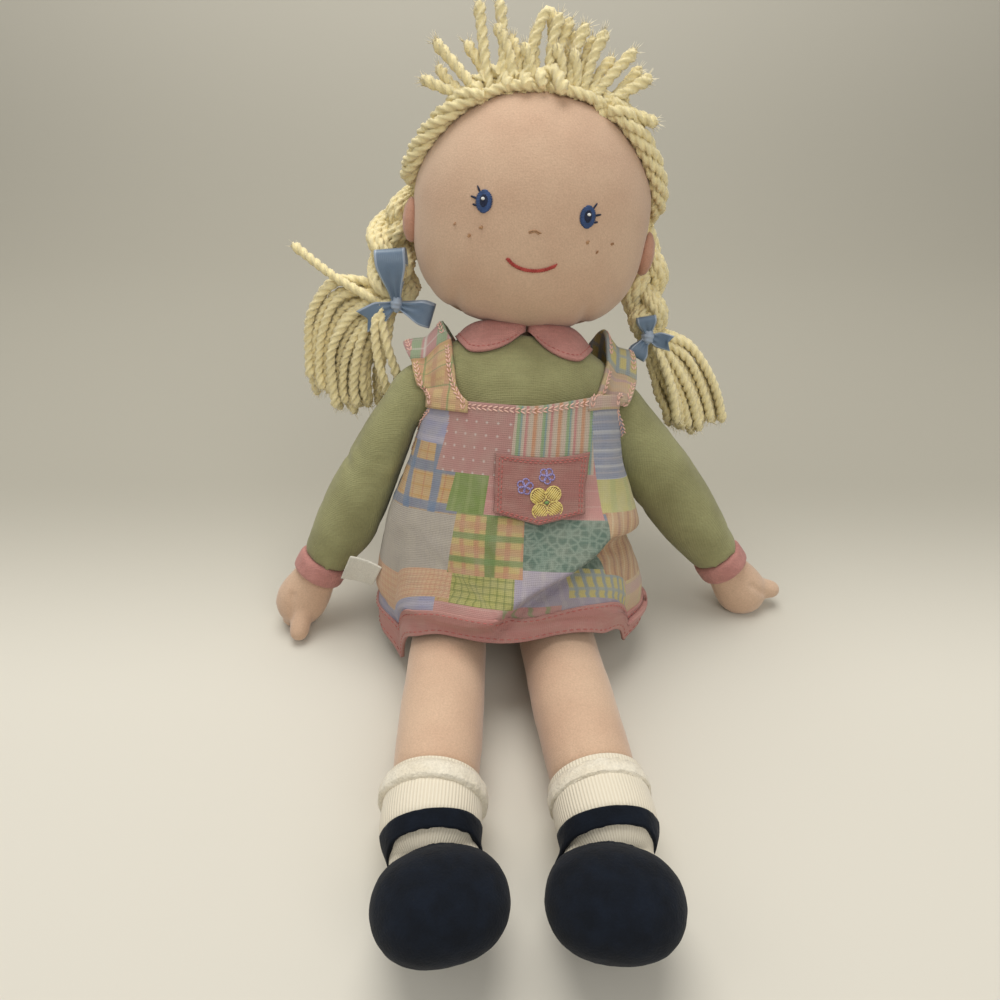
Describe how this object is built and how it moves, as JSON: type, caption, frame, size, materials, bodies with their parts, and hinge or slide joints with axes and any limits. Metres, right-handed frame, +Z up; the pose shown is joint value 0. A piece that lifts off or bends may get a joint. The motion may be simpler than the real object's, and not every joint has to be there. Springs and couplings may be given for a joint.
{
  "type": "rag doll",
  "caption": "Stuffed cloth doll that sits on a floor, with yarn braids, a patchwork pinafore, ribbed socks and felt shoes, and sewn neck, shoulders, hips and braids that turn.",
  "frame": {"origin": "on the floor, at the middle of the flat of the doll's seat", "axes": "+Z up; -Y is the way the doll faces and its legs point; +X is to the right as one looks at its face"},
  "size_m": [0.2672, 0.3092, 0.2709],
  "materials": {
    "skin": "peach plain-weave cotton",
    "ear": "orange-peach cotton",
    "shirt": "sage green plain-weave cotton",
    "pink": "dusty pink cotton",
    "patchwork": "printed cotton patches in faded pastels",
    "yarn": "pale yellow plied yarn",
    "ribbon": "dusty blue satin",
    "sock": "ivory ribbed knit",
    "felt": "navy-black felt",
    "tag": "white woven label, blank"
  },
  "bodies": {
    "torso": {"body_seat": "skin", "body_chest": "shirt", "dress_front": "patchwork", "dress_back": "patchwork", "hem_front": "pink", "hem_back": "pink", "strap_left": "patchwork", "strap_right": "patchwork", "pocket": "pink", "side_tag": "tag", "collar_left": "pink", "collar_right": "pink"},
    "neck": {"neck": "skin"},
    "head": {"head": "skin", "ear_left": "ear", "ear_right": "ear", "hair_cap": "yarn", "fringe": "yarn"},
    "braid_left": {"braid_left": "yarn", "tassel_left": "yarn", "bow_left": "ribbon"},
    "braid_right": {"braid_right": "yarn", "tassel_right": "yarn", "bow_right": "ribbon"},
    "arm_left": {"arm_left": "shirt", "cuff_left": "pink", "hand_left": "skin"},
    "arm_right": {"arm_right": "shirt", "cuff_right": "pink", "hand_right": "skin"},
    "leg_left": {"leg_left": "skin", "sock_left": "sock", "sock_cuff_left": "sock", "shoe_left": "felt", "shoe_strap_left": "felt"},
    "leg_right": {"leg_right": "skin", "sock_right": "sock", "sock_cuff_right": "sock", "shoe_right": "felt", "shoe_strap_right": "felt"}
  },
  "joints": [
    {"name": "neck_turn", "type": "hinge", "parent": "torso", "child": "neck", "pos_m": [0.00868, 0.03669, 0.13799], "axis": [0.0785, 0.437, 0.896], "range_deg": [-15, 15], "stiffness_Nm_per_rad": 0.05},
    {"name": "neck_nod", "type": "hinge", "parent": "neck", "child": "head", "pos_m": [0.00868, 0.03669, 0.13799], "axis": [0.9945, -0.0288, -0.1005], "range_deg": [-12, 1], "stiffness_Nm_per_rad": 0.25},
    {"name": "braid_left_swing", "type": "hinge", "parent": "head", "child": "braid_left", "pos_m": [-0.04253, 0.07274, 0.19587], "axis": [0, 0.9613, -0.2756], "range_deg": [-2, 25]},
    {"name": "braid_right_swing", "type": "hinge", "parent": "head", "child": "braid_right", "pos_m": [0.07017, 0.06576, 0.17934], "axis": [0, -0.9613, 0.2756], "range_deg": [-2, 25]},
    {"name": "shoulder_left", "type": "hinge", "parent": "torso", "child": "arm_left", "pos_m": [-0.0377, 0.01703, 0.11593], "axis": [0.9969, -0.0344, -0.0705], "range_deg": [-70, 5], "deforming": ["side_tag"]},
    {"name": "shoulder_right", "type": "hinge", "parent": "torso", "child": "arm_right", "pos_m": [0.05402, 0.01387, 0.10944], "axis": [0.9969, -0.0344, -0.0705], "range_deg": [-70, 5]},
    {"name": "hip_left", "type": "hinge", "parent": "torso", "child": "leg_left", "pos_m": [-0.024, -0.03, 0.0195], "axis": [1, 0, 0], "range_deg": [-5, 64]},
    {"name": "hip_right", "type": "hinge", "parent": "torso", "child": "leg_right", "pos_m": [0.024, -0.03, 0.0195], "axis": [1, 0, 0], "range_deg": [-5, 64]}
  ]
}
